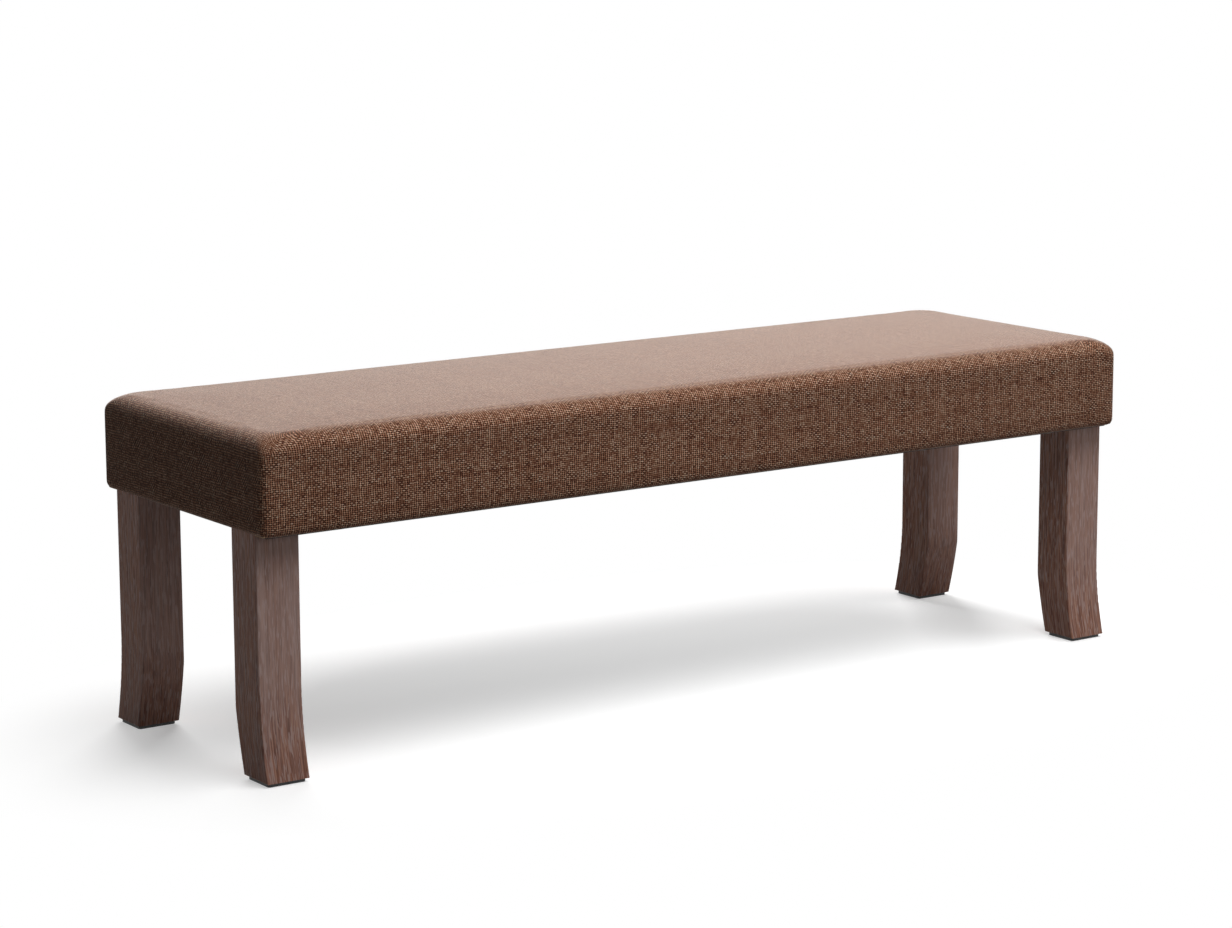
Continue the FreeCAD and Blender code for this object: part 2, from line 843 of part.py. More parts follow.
def make_seat_cover(*staples):
    """The woven cover: a shell with a hem turned under the rails and notched round the legs."""
    thickness = size["cover_thickness"].number
    outer = form_object("cover_outside", seat_form(0, underside.number, True))
    inner = form_object("cover_inside", seat_form(thickness, rail_bottom.number, True))
    hem, overrun = size["hem_width"], size["tool_overrun"]
    opening = centred_box(
        "hem_opening", (measure(0), measure(0)), ((half_length - hem) * 2, (half_width - hem) * 2),
        underside - overrun, rail_top)
    notches = leg_notches(
        "cover_notches", size["hem_notch_clearance"], underside - overrun, underside + size["bottom_edge_radius"])
    bore_for("seat_cover", cut("cover_shell", outer, inner, opening, notches), *staples)


def make_wadding():
    """The wadding between the foam or the rails and the cover, open below."""
    outside_inset = size["cover_thickness"] + size["layer_clearance"]
    inside_inset = outside_inset + size["wadding_thickness"]
    outer = form_object(
        "wadding_outside", seat_form(outside_inset.number, (underside + outside_inset).number, True))
    inner = form_object(
        "wadding_inside", seat_form(inside_inset.number, underside.number, False))
    add_sub_part(cut("wadding", outer, inner), "wadding")


def make_foam():
    """The foam pad on the hessian, up to the wadding."""
    foam = form_object("foam_pad", seat_form(skin.number, foam_bottom.number, False))
    add_sub_part(foam, "foam_pad")


def make_hessian():
    """The sheet of hessian that keeps the foam out of the webbing."""
    inset = size["strap_end_gap"]
    full = ((frame_half_length - inset) * 2, (frame_half_width - inset) * 2)
    top = hessian_bottom + size["hessian_thickness"]
    sheet_of_hessian = centred_box("hessian_sheet", (measure(0), measure(0)), full, hessian_bottom, top)
    add_sub_part(sheet_of_hessian, "hessian_sheet")


def make_dust_cover(staples):
    """The thin cloth under the seat, notched round the legs."""
    inset = size["dust_cover_inset"]
    full = ((half_length - inset) * 2, (half_width - inset) * 2)
    sheet_blank = centred_box(
        "dust_cover_blank", (measure(0), measure(0)), full, dust_cover_bottom, dust_cover_top)
    notches = leg_notches(
        "dust_cover_notches", size["dust_notch_clearance"], dust_cover_bottom - size["tool_overrun"], underside)
    bore_for("dust_cover", cut("dust_cover_notched", sheet_blank, notches), staples)


# the glides


def make_glide(corner, nails):
    """A glide under one foot, with a recess for each nail's head."""
    side_x, side_y = CORNERS[corner]
    half_x = size["leg_width"] / 2 - size["glide_inset"]
    half_y = foot_depth / 2 - size["glide_inset"]
    body = new_body(f"{corner}_glide_blank")
    corners = [(half_x, half_y), (-half_x, half_y), (-half_x, -half_y), (half_x, -half_y)]
    plan = outline(body, "XY_Plane", f"{corner}_glide_plan", corners)
    blank = pad(body, plan, size["glide_thickness"])
    fillet(body, blank, upright_edges(blank.Shape), size["glide_corner_radius"])
    place(body, side_x * leg_middle_x, side_y * foot_middle_y, 0)
    recesses = []
    for aside in nail_offsets():
        recess = doc.addObject("Part::Cylinder", f"{corner}_glide_recess")
        bind(recess, "Radius", size["nail_head_diameter"] / 2)
        bind(recess, "Height", size["nail_recess"])
        place(recess, side_x * leg_middle_x + aside, side_y * foot_middle_y, 0)
        recesses.append(recess)
    bore_for(f"{corner}_glide", cut(f"{corner}_glide_recessed", body, *recesses), nails)


# checks and files


def check_model():
    """Stop before writing anything if an object failed or a sub-part's shape is bad."""
    doc.recompute()
    for item in doc.Objects:
        failed = [word for word in item.State if word in ("Invalid", "Error")]
        if failed:
            raise RuntimeError(f"{item.Name} is {failed}")
    for item in sub_parts:
        if item.Shape.isNull() or not item.Shape.isValid() or not item.Shape.Solids:
            raise RuntimeError(f"{item.Label} has a bad shape")


def write_parts():
    os.makedirs("parts", exist_ok=True)
    for item in sub_parts:
        item.Shape.exportStep(f"parts/{item.Label}.step")
        bounds = item.Shape.BoundBox
        print(f"{item.Label}: {len(item.Shape.Solids)} solids, {item.Shape.Volume / 1000:.1f} cm3, "
              f"z {bounds.ZMin:.2f} to {bounds.ZMax:.2f}")


def make_bench():
    bolts = make_leg_bolts()
    dowels = group("end_rail_dowels", dowel_model(), dowel_spots())
    short_screw = screw_model("block_screw_model", size["block_screw_length"])
    long_screw = screw_model("rail_screw_model", size["rail_screw_length"])
    block_screws = group("corner_block_screws", short_screw, block_screw_spots())
    rail_screws = group("cross_rail_screws", long_screw, rail_screw_spots())
    staple = staple_model()
    strap_staples = group("webbing_staples", staple, strap_staple_spots())
    hem_places = edge_staple_spots(underside, size["hem_staple_edge"], size["hem_staple_pitch"])
    dust_places = edge_staple_spots(dust_cover_bottom, size["dust_staple_edge"], size["dust_staple_pitch"])
    hem_staples = group("hem_staples", staple, hem_places)
    dust_staples = group("dust_cover_staples", staple, dust_places)
    nails = group("glide_nails", nail_model(), nail_spots())
    for corner in CORNERS:
        make_leg(corner, bolts, dowels, nails)
        make_corner_block(corner, bolts, block_screws)
        make_glide(corner, nails)
    for side in SIDES:
        make_side_rail(side, block_screws, rail_screws, strap_staples, hem_staples, dust_staples)
    for end in ENDS:
        make_end_rail(end, dowels, block_screws, strap_staples, hem_staples, dust_staples)
    for node, x in zip(CROSS_RAILS, cross_rail_places()):
        make_cross_rail(node, x, rail_screws)
    for number, x in enumerate(cross_strap_places(), start=1):
        make_cross_strap(number, x, strap_staples)
    for number, y in enumerate(long_strap_places(), start=1):
        make_long_strap(number, y, strap_staples)
    make_hessian()
    make_foam()
    make_wadding()
    make_seat_cover(hem_staples, dust_staples)
    make_dust_cover(dust_staples)


make_bench()
check_model()
write_parts()
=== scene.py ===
"""The looks of the upholstered bench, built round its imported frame. Metres, +Z up."""

import math

import bpy
import numpy as np
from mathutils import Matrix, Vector


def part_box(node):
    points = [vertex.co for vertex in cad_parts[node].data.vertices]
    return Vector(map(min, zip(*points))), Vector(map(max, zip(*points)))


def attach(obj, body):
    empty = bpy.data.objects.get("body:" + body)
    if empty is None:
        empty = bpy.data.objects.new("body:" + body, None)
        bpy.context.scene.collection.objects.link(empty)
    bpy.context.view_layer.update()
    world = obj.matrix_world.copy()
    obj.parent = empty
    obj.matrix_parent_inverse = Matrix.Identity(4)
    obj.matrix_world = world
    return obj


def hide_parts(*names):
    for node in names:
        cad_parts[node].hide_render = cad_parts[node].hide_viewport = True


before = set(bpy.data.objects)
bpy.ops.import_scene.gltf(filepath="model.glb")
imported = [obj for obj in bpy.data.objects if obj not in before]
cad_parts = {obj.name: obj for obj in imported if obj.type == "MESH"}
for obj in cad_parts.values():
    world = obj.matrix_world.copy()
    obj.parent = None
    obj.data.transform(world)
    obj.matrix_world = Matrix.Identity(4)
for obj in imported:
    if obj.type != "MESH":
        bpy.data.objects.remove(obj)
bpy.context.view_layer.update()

MM = 0.001
BODY = "root"
CORNERS = ("front_left", "front_right", "back_left", "back_right")
SIDE_RAILS = ("front_rail", "back_rail")
END_RAILS = ("left_end_rail", "right_end_rail")
CROSS_RAILS = ("left_cross_rail", "middle_cross_rail", "right_cross_rail")
STEEL_NODES = (
    "leg_hanger_bolts", "leg_bolt_washers", "leg_bolt_nuts", "corner_block_screws", "cross_rail_screws",
    "webbing_staples", "hem_staples", "dust_cover_staples", "glide_nails",
)

# the camera, from a fit to the outline of the bench in the photograph
PHOTO_WIDTH = 1232
FOCAL_PIXELS = 3409.069
SENSOR_WIDTH = 36
CAMERA_PLACE = Vector((-2.855829, -4.031584, 1.232195))
CAMERA_PITCH = math.radians(10.433)
CAMERA_YAW = math.radians(35.008)
CAMERA_ROLL = math.radians(-0.178)

# the covered seat, on the form of its solid
SEAT_LOW, SEAT_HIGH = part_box("seat_cover")
SWELL_ROOM = 0.5 * MM
HALF_LENGTH = SEAT_HIGH.x - SWELL_ROOM
HALF_WIDTH = SEAT_HIGH.y - SWELL_ROOM
TOP_LEVEL = SEAT_HIGH.z - SWELL_ROOM
EDGE_REACH = 26 * MM
EDGE_DROP = 24 * MM
CROWN_HEIGHT = 3 * MM
CROWN_FLAT_SHARE = 0.25
LOW_EDGE = 10 * MM
WALL_CORNER = 10 * MM
TOP_CORNER = 40 * MM
LOW_CORNER = 6 * MM
HEM_WIDTH = 34 * MM
COVER_THICKNESS = 0.65 * MM
CELL = 11 * MM
CORNER_CELLS = 8
EDGE_CELLS = 8
LOW_EDGE_CELLS = 4
WALL_CELLS = 10
HEM_CELLS = 3
SWELL_LIMIT = 1.0 * MM
SHRINK_LIMIT = 0.15 * MM
SWELL_PRESSURE = 4
SWELL_STIFFNESS = 40
SWELL_BENDING = 5
SWELL_FRAMES = 12
NOTCH_CLEARANCE = 0.5 * MM

# the straight parts of the seat's plan and walls, which follow from those sizes
STRAIGHT_X = HALF_LENGTH - EDGE_REACH - TOP_CORNER
STRAIGHT_Y = HALF_WIDTH - EDGE_REACH - TOP_CORNER
CORNER_ZONE = EDGE_REACH + TOP_CORNER
WALL_TOP = TOP_LEVEL - CROWN_HEIGHT - EDGE_DROP
WALL_BOTTOM = SEAT_LOW.z + LOW_EDGE
WALL_STRAIGHT = CORNER_ZONE - WALL_CORNER

# the cloth under the seat
DUST_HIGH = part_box("dust_cover")[1]
DUST_CELL = 14 * MM
DUST_SAG = 2.5 * MM
DUST_PUCKER = 0.4 * MM
DUST_FOLD = 9 * MM
DUST_THICKNESS = 0.25 * MM
DUST_FOLD_LIFT = DUST_THICKNESS * 1.4
DUST_LEVEL = DUST_HIGH.z - DUST_THICKNESS * 2
DUST_STAPLE_PITCH = 125 * MM
DUST_CLEARANCE = 1 * MM
DUST_STIFFNESS = 30
DUST_BENDING = 0.5
DUST_FRAMES = 15

# the weave of the cover: its threads, what varies in their height and tone, and how low they lie for the
# painted shade of the gaps
THREAD_PITCH_U = 3.5 * MM
THREAD_PITCH_V = 2.8 * MM
THREAD_DIP_U = 0.15
THREAD_DIP_V = 0.17
THREAD_ROUNDNESS = 0.85
THREAD_RELIEF = 0.5 * MM
THREAD_TONE = 0.16
SLUB_SPACING = 3.1
SLUB_RUN = 0.37
SLUB_TONES = (0.1, 0.62)
WANDER_SCALE = 45
PATCH_SCALE = 45
PATCH_LEVELS = (0.35, 0.65)
PATCH_LEAN = (-0.15, 0.01)
# the heights of the weave over which its painted shade fades from near-black to the yarn's colour
GAP_SHADE_LEVELS = (0.66, 0.97)
BROAD_SCALE = 5
BROAD_SHARE = 0.1
NAP_SCALE = 260
NAP_SHARE = 0.9
YARN_TONES = (0.15, 0.4, 0.65, 0.9)

# the grain of the timbers, in noise cells per metre across it and along it, and what varies in it
LEG_GRAIN = (540, 16)
PINE_GRAIN = (90, 3)
LEG_SAWN = 0.4
LEG_ROUGHNESS = 0.55
PINE_ROUGHNESS = 0.7
GLOSS_SPREAD = 0.07
WOOD_GLOSS = 0.12
WOOD_RELIEF = 0.1 * MM
FIBRE_LEVELS = (0.36, 0.5, 0.63)
FIBRE_RELIEF = 0.4
STREAK_SCALE = 0.22
STREAK_LEVELS = (0.42, 0.7)
STREAK_SHARE = 0.3
FLECK_SHORTNESS = 3
FLECK_OFFSET = (7, 3, 5)
FLECK_LEVELS = (0.55, 0.61)
FLECK_SHARE = 0.75
# how far the legs' colour goes towards its darkest at the bottom of the foot
FOOT_DARKENING = 0.3

# the flare of the feet, which the grain of the legs follows
FLARE_REACH = 17.5 * MM
FLARE_HEIGHT = 135 * MM

# the small patterns of the other materials, in cells per metre, and their relief
PLASTIC_GRAIN = 1600
PLASTIC_WEAR = 60
PLASTIC_RELIEF = 0.05 * MM
ZINC_SPOTS = 400
ZINC_RELIEF = 0.03 * MM
JUTE_PITCH = 2.2 * MM
HESSIAN_PITCH = 1.6 * MM
CLOTH_FIBRE = 500
CLOTH_RELIEF = 0.3 * MM
CLOTH_ROUGHNESS = 0.95
FOAM_CELLS = 700
FOAM_RELIEF = 0.5 * MM
WADDING_FIBRE = 180
WADDING_RELIEF = 1 * MM
DUST_DIMPLES = 620
DUST_FIBRE = 260
DUST_RELIEF = 0.15 * MM

# most of a noise lies between these levels
NOISE_LOW = 0.3
NOISE_HIGH = 0.7

# colours, each set from dark to light
YARN_COLOURS = ((0.14, 0.050, 0.028), (0.50, 0.235, 0.14), (0.85, 0.54, 0.37), (0.95, 0.74, 0.56))
# the painted shade of the weave where it lies low, in its gaps and where a thread dips under another
GAP_SHADE_COLOUR = (0.016, 0.005, 0.003)
BROAD_COLOUR = (0.16, 0.085, 0.06)
NAP_TINT = (1, 0.865, 0.795, 1)
LEG_COLOURS = ((0.095, 0.033, 0.020), (0.27, 0.117, 0.076), (0.42, 0.225, 0.155))
LEG_STREAKS = (0.47, 0.34, 0.31)
PINE_COLOURS = ((0.36, 0.20, 0.09), (0.60, 0.40, 0.22), (0.72, 0.54, 0.34))
PINE_STREAKS = (0.66, 0.50, 0.33)
PLASTIC_COLOURS = ((0.010, 0.010, 0.011), (0.022, 0.021, 0.021))
ZINC_COLOURS = ((0.42, 0.42, 0.40), (0.68, 0.68, 0.66))
JUTE_COLOURS = ((0.20, 0.12, 0.06), (0.62, 0.46, 0.28))
HESSIAN_COLOURS = ((0.22, 0.15, 0.08), (0.62, 0.48, 0.31))
FOAM_COLOURS = ((0.55, 0.48, 0.30), (0.82, 0.76, 0.56))
WADDING_COLOURS = ((0.70, 0.69, 0.66), (0.88, 0.87, 0.85))
DUST_COLOURS = ((0.012, 0.012, 0.013), (0.035, 0.034, 0.034))

# the studio: the world's light on the bench, and the floor as the camera sees it and as light does
AMBIENT = 0.05
FLOOR_REACH = 60
FLOOR_PAINT = 1.1
FLOOR_DULL = 0.22
# the floor's white glow starts at an ellipse of these half-sizes, which reaches under the bench's ends and
# so paints light into its shadow there, and is full this many times further out
FLOOR_FADE_LENGTH = 0.55
FLOOR_FADE_WIDTH = 0.32
FLOOR_FADE_END = 2
VIEW_REACH = 200

# the lamps: the place, width, height and power of each
LAMP_TARGET = Vector((0, 0, 0.4))
KEY_LIGHT = (Vector((0.65, -1.1, 3.3)), 3.4, 2.0, 122)
BACK_LIGHT = (Vector((1.2, 3.0, 1.7)), 2.4, 2.4, 160)
FRONT_LIGHT = (Vector((1.4, -3.4, 1.5)), 2.4, 1.6, 14)


# meshes


def new_piece(name, points, faces):
    mesh = bpy.data.meshes.new(name)
    mesh.from_pydata([tuple(point) for point in points], [], faces)
    mesh.update()
    piece = bpy.data.objects.new(name, mesh)
    bpy.context.scene.collection.objects.link(piece)
    return piece


def apply_modifiers(piece):
    """Replace a piece's mesh by what its modifiers make of it."""
    evaluated = piece.evaluated_get(bpy.context.evaluated_depsgraph_get())
    mesh = bpy.data.meshes.new_from_object(evaluated)
    piece.modifiers.clear()
    piece.data = mesh


def shade_smooth(piece):
    piece.data.polygons.foreach_set("use_smooth", [True] * len(piece.data.polygons))


def smooth_step(share):
    share = min(max(share, 0), 1)
    return share * share * (3 - 2 * share)


# the seat cover: a grid over the top, and rings from its border down the walls and under the rails


def axis_lines(straight):
    """The top grid's lines along one axis: each one's straight place and its share of the corner."""
    cells = round(straight * 2 / CELL)
    inner = [(-straight + straight * 2 * number / cells, 0) for number in range(cells + 1)]
    before = [(-straight, -step / CORNER_CELLS) for step in range(CORNER_CELLS, 0, -1)]
    after = [(straight, step / CORNER_CELLS) for step in range(1, CORNER_CELLS + 1)]
    return before + inner + after


def corner_direction(share_x, share_y):
    """A square of shares drawn onto a round disc, so that the grid's corners follow the seat's."""
    return share_x * math.sqrt(1 - share_y ** 2 / 2), share_y * math.sqrt(1 - share_x ** 2 / 2)


def inset_of(x, y):
    """How far a point of the top lies in from the edge of its rounding."""
    inset = min(STRAIGHT_X + TOP_CORNER - abs(x), STRAIGHT_Y + TOP_CORNER - abs(y))
    over_x = abs(x) - STRAIGHT_X
    over_y = abs(y) - STRAIGHT_Y
    if over_x + inset > 0 and over_y + inset > 0:
        total = over_x + over_y
        spare = total ** 2 - 2 * (over_x ** 2 + over_y ** 2 - TOP_CORNER ** 2)
        inset = (math.sqrt(max(spare, 0)) - total) / 2
    return max(inset, 0)


def crown_level(x, y):
    span = (STRAIGHT_Y + TOP_CORNER) * (1 - CROWN_FLAT_SHARE)
    share = min(inset_of(x, y) / span, 1)
    return TOP_LEVEL - CROWN_HEIGHT * (1 - share) ** 2


def wall_profile():
    """The rings below the top's border: inset, level, corner radius and the way come from the border."""
    steps = []
    for step in range(EDGE_CELLS, -1, -1):
        angle = math.pi / 2 * step / EDGE_CELLS
        drawn_in = 1 - math.cos(angle)
        radius = WALL_CORNER + (TOP_CORNER - WALL_CORNER) * drawn_in
        steps.append((EDGE_REACH * drawn_in, WALL_TOP + EDGE_DROP * math.sin(angle), radius))
    for step in range(1, WALL_CELLS + 1):
        steps.append((0, WALL_TOP + (WALL_BOTTOM - WALL_TOP) * step / WALL_CELLS, WALL_CORNER))
    for step in range(1, LOW_EDGE_CELLS + 1):
        angle = math.pi / 2 * step / LOW_EDGE_CELLS
        drawn_in = 1 - math.cos(angle)
        radius = WALL_CORNER + (LOW_CORNER - WALL_CORNER) * drawn_in
        steps.append((LOW_EDGE * drawn_in, WALL_BOTTOM - LOW_EDGE * math.sin(angle), radius))
    for step in range(1, HEM_CELLS + 1):
        steps.append((LOW_EDGE + (HEM_WIDTH - LOW_EDGE) * step / HEM_CELLS, SEAT_LOW.z, LOW_CORNER))
    rings, way = [], 0
    for number, (inset, level, radius) in enumerate(steps):
        if number:
            way += math.hypot(inset - steps[number - 1][0], level - steps[number - 1][1])
        rings.append((inset, level, radius, way))
    return rings


def round_the_corner(share, inset, radius):
    """A ring's point in its corner zone, and how far it lies along the ring from the long side."""
    straight = CORNER_ZONE - inset - radius
    lead = straight / WALL_STRAIGHT / 4
    if share < lead:
        return straight * share / lead, straight + radius, straight * share / lead
    if share > 1 - lead:
        left = straight * (1 - share) / lead
        return straight + radius, left, straight * 2 + radius * math.pi / 2 - left
    angle = (share - lead) / (1 - lead * 2) * math.pi / 2
    reach_x, reach_y = straight + radius * math.sin(angle), straight + radius * math.cos(angle)
    return reach_x, reach_y, straight + radius * angle


def ring_point(line_x, line_y, ring):
    """Where one column of the wall meets a ring: its place, and its thread places seen from each side."""
    inset, level, radius, way = ring
    (base_x, share_x), (base_y, share_y) = line_x, line_y
    across_x, across_y = corner_direction(share_x, share_y)
    sign_x, sign_y = math.copysign(1, across_x), math.copysign(1, across_y)
    radial = (base_x + across_x * (TOP_CORNER + way), base_y + across_y * (TOP_CORNER + way))
    if share_x == 0:
        place = (base_x, sign_y * (HALF_WIDTH - inset), level)
        threads = (base_x, sign_y * (STRAIGHT_Y + TOP_CORNER + way))
        return place, threads, threads
    if share_y == 0:
        place = (sign_x * (HALF_LENGTH - inset), base_y, level)
        threads = (sign_x * (STRAIGHT_X + TOP_CORNER + way), base_y)
        return place, threads, threads
    share = math.atan2(abs(across_x), abs(across_y)) / (math.pi / 2)
    reach_x, reach_y, along = round_the_corner(share, inset, radius)
    total = (CORNER_ZONE - inset - radius) * 2 + radius * math.pi / 2
    place = (sign_x * (STRAIGHT_X + reach_x), sign_y * (STRAIGHT_Y + reach_y), level)
    from_side = (sign_x * (STRAIGHT_X + along), sign_y * (STRAIGHT_Y + TOP_CORNER + way))
    from_end = (sign_x * (STRAIGHT_X + TOP_CORNER + way), sign_y * (STRAIGHT_Y + total - along))
    blend = smooth_step(way / (EDGE_REACH * math.pi / 2))
    return place, mixed(radial, from_side, blend), mixed(radial, from_end, blend)


def mixed(start, end, share):
    return tuple(first + (last - first) * share for first, last in zip(start, end))


def seat_mesh():
    """The cover's outer face as points, faces and the thread place of each face corner."""
    lines_x, lines_y = axis_lines(STRAIGHT_X), axis_lines(STRAIGHT_Y)
    count_x, count_y = len(lines_x), len(lines_y)
    points, threads = [], []
    for base_y, share_y in lines_y:
        for base_x, share_x in lines_x:
            across_x, across_y = corner_direction(share_x, share_y)
            x, y = base_x + TOP_CORNER * across_x, base_y + TOP_CORNER * across_y
            points.append((x, y, crown_level(x, y)))
            threads.append((x, y))
    faces, places = [], []
    for row in range(count_y - 1):
        for column in range(count_x - 1):
            first = row * count_x + column
            face = (first, first + 1, first + count_x + 1, first + count_x)
            faces.append(face)
            places += [threads[corner] for corner in face]
    border = [(column, 0) for column in range(count_x - 1)]
    border += [(count_x - 1, row) for row in range(count_y - 1)]
    border += [(column, count_y - 1) for column in range(count_x - 1, 0, -1)]
    border += [(0, row) for row in range(count_y - 1, 0, -1)]
    rings = wall_profile()
    ends = (0, count_x - 1)
    index = {(column, row, 0): row * count_x + column for column, row in border}
    seen = {}
    for step, ring in enumerate(rings):
        for column, row in border:
            place, from_side, from_end = ring_point(lines_x[column], lines_y[row], ring)
            seen[column, row, step] = (from_side, from_end)
            if step:
                index[column, row, step] = len(points)
                points.append(place)
    for step in range(len(rings) - 1):
        for number, start in enumerate(border):
            end = border[(number + 1) % len(border)]
            view = 1 if start[0] == end[0] and start[0] in ends else 0
            keys = ((*start, step), (*start, step + 1), (*end, step + 1), (*end, step))
            faces.append(tuple(index[key] for key in keys))
            places += [seen[key][view] for key in keys]
    return points, faces, places


def make_seat():
    points, faces, places = seat_mesh()
    seat = new_piece("padded_seat", points, faces)
    layer = seat.data.uv_layers.new(name="weave")
    layer.data.foreach_set("uv", np.array(places, np.float32).ravel())
    swell(seat)
    refine = seat.modifiers.new("refine", "SUBSURF")
    refine.levels = refine.render_levels = 1
    shell = seat.modifiers.new("shell", "SOLIDIFY")
    shell.thickness = COVER_THICKNESS
    shell.offset = -1
    notches = make_notches()
    notch = seat.modifiers.new("notch", "BOOLEAN")
    notch.operation = "DIFFERENCE"
    notch.object = notches
    apply_modifiers(seat)
    bpy.data.objects.remove(notches)
    shade_smooth(seat)
    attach(seat, BODY)
    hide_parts("seat_cover", "wadding")
    seat.data.materials.append(make_fabric())


def swell(seat):
    """Let the padding press the cover outwards a little, held at its hem, by cloth simulation."""
    held = seat.vertex_groups.new(name="hem")
    lows = [point.index for point in seat.data.vertices if point.co.z < WALL_BOTTOM]
    held.add(lows, 1, "REPLACE")
    cloth = seat.modifiers.new("swell", "CLOTH")
    cloth.settings.vertex_group_mass = "hem"
    cloth.settings.use_pressure = True
    cloth.settings.uniform_pressure_force = SWELL_PRESSURE
    cloth.settings.effector_weights.gravity = 0
    cloth.settings.tension_stiffness = SWELL_STIFFNESS
    cloth.settings.compression_stiffness = SWELL_STIFFNESS
    cloth.settings.bending_stiffness = SWELL_BENDING
    cloth.collision_settings.use_collision = False
    cloth.collision_settings.use_self_collision = False
    moved = simulated_moves(seat, SWELL_FRAMES)
    rest = np.array([point.co for point in seat.data.vertices])
    outwards = np.array([point.normal for point in seat.data.vertices])
    rise = (moved * outwards).sum(axis=1, keepdims=True)
    rise = np.maximum(rise * SWELL_LIMIT / (abs(rise) + SWELL_LIMIT), -SHRINK_LIMIT)
    seat.data.vertices.foreach_set("co", (rest + outwards * rise).ravel())
    seat.data.update()


BOX_SIDES = ((3, 2, 1, 0), (4, 5, 6, 7), (0, 1, 5, 4), (1, 2, 6, 5), (2, 3, 7, 6), (3, 0, 4, 7))


def make_notches():
    """The four spaces that the legs take out of the hem, as one object of boxes."""
    levels = (SEAT_LOW.z - LOW_EDGE, SEAT_LOW.z + COVER_THICKNESS * 2)
    points, faces = [], []
    for corner in CORNERS:
        low, high = leg_plan(corner, NOTCH_CLEARANCE)
        plan = ((low.x, low.y), (high.x, low.y), (high.x, high.y), (low.x, high.y))
        first = len(points)
        points += [(x, y, level) for level in levels for x, y in plan]
        faces += [tuple(first + number for number in side) for side in BOX_SIDES]
    return new_piece("leg_notches", points, faces)


def leg_plan(corner, clearance):
    """The plan of a leg above its flare, with a clearance all round: its two corners."""
    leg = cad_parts[f"{corner}_leg"].data
    points = [point.co for point in leg.vertices if point.co.z > SEAT_LOW.z]
    low = Vector(min(point[axis] for point in points) - clearance for axis in range(2))
    high = Vector(max(point[axis] for point in points) + clearance for axis in range(2))
    return low, high


# the cloth under the seat: one sheet, cut round the legs, its edges folded in and stapled to the rails


def divided(places):
    """Lines through the given places and between them, no further apart than a cell."""
    lines = []
    for start, end in zip(places, places[1:]):
        cells = math.ceil((end - start) / DUST_CELL)
        lines += [start + (end - start) * number / cells for number in range(cells)]
    return lines + [places[-1]]


def dust_mesh():
    """The flat sheet as points and faces, with its folded edges, and the points that staples hold."""
    low, high = leg_plan("back_right", DUST_CLEARANCE)
    rails_x, rails_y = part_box("right_end_rail")[0].x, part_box("back_rail")[0].y
    lines_x = divided([-DUST_HIGH.x, -rails_x, -low.x, low.x, rails_x, DUST_HIGH.x])
    lines_y = divided([-DUST_HIGH.y, -high.y, -low.y, low.y, high.y, DUST_HIGH.y])
    points, faces, index = [], [], {}

    def add_face(places):
        """Add a face, with those of its points that aren't there yet."""
        keys = [tuple(round(value / MM, 3) for value in place) for place in places]
        for key, place in zip(keys, places):
            if key not in index:
                index[key] = len(points)
                points.append(place)
        faces.append(tuple(index[key] for key in keys))

    for left, right in zip(lines_x, lines_x[1:]):
        for front, back in zip(lines_y, lines_y[1:]):
            middle_x, middle_y = abs(left + right) / 2, abs(front + back) / 2
            if middle_x > low.x and low.y < middle_y < high.y:
                continue
            corners = ((left, front), (right, front), (right, back), (left, back))
            add_face([(x, y, DUST_LEVEL) for x, y in reversed(corners)])
            for start, end in zip(corners, corners[1:] + corners[:1]):
                for places in fold_faces(start, end):
                    add_face(places)
    held = [
        number for number, (x, y, z) in enumerate(points)
        if abs(x) > rails_x - MM or abs(y) > rails_y - MM or z > DUST_LEVEL
        or (abs(x) > low.x - MM and abs(y) > low.y - MM)
    ]
    return points, faces, held


def fold_faces(start, end):
    """The turn up and the flap on a cell's edge that is an outer edge of the sheet, as four places each."""
    if start[1] == end[1] and abs(start[1]) == DUST_HIGH.y:
        inward = (0, -math.copysign(1, start[1]))
    elif start[0] == end[0] and abs(start[0]) == DUST_HIGH.x:
        inward = (-math.copysign(1, start[0]), 0)
    else:
        return []
    path = ((0, 0), (0, DUST_FOLD_LIFT), (DUST_FOLD, DUST_FOLD_LIFT))
    rows = [
        [(x + inward[0] * way, y + inward[1] * way, DUST_LEVEL + lift) for x, y in (start, end)]
        for way, lift in path
    ]
    return [(near[0], near[1], far[1], far[0]) for near, far in zip(rows, rows[1:])]


def make_dust_cover():
    points, faces, held = dust_mesh()
    cloth = new_piece("underside_cloth", points, faces)
    sag(cloth, held)
    shell = cloth.modifiers.new("shell", "SOLIDIFY")
    shell.thickness = DUST_THICKNESS
    shell.offset = 0
    apply_modifiers(cloth)
    shade_smooth(cloth)
    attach(cloth, BODY)
    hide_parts("dust_cover")
    cloth.data.materials.append(make_dust_look())


def sag(cloth, held):
    """Let the sheet hang from its staples by cloth simulation, brought to the sag of a taut cloth."""
    pinned = cloth.vertex_groups.new(name="stapled")
    pinned.add(held, 1, "REPLACE")
    simulation = cloth.modifiers.new("sag", "CLOTH")
    simulation.settings.vertex_group_mass = "stapled"
    simulation.settings.tension_stiffness = DUST_STIFFNESS
    simulation.settings.bending_stiffness = DUST_BENDING
    simulation.collision_settings.use_collision = False
    moved = simulated_moves(cloth, DUST_FRAMES)
    rest = np.array([point.co for point in cloth.data.vertices])
    moved *= DUST_SAG / np.linalg.norm(moved, axis=1).max()
    free = np.linalg.norm(moved, axis=1) / DUST_SAG
    ripple = np.sin(rest[:, 0] * math.pi / DUST_STAPLE_PITCH) ** 2 * np.sin(free * math.pi)
    rest += moved
    rest[:, 2] -= ripple * DUST_PUCKER
    cloth.data.vertices.foreach_set("co", rest.ravel())
    cloth.data.update()


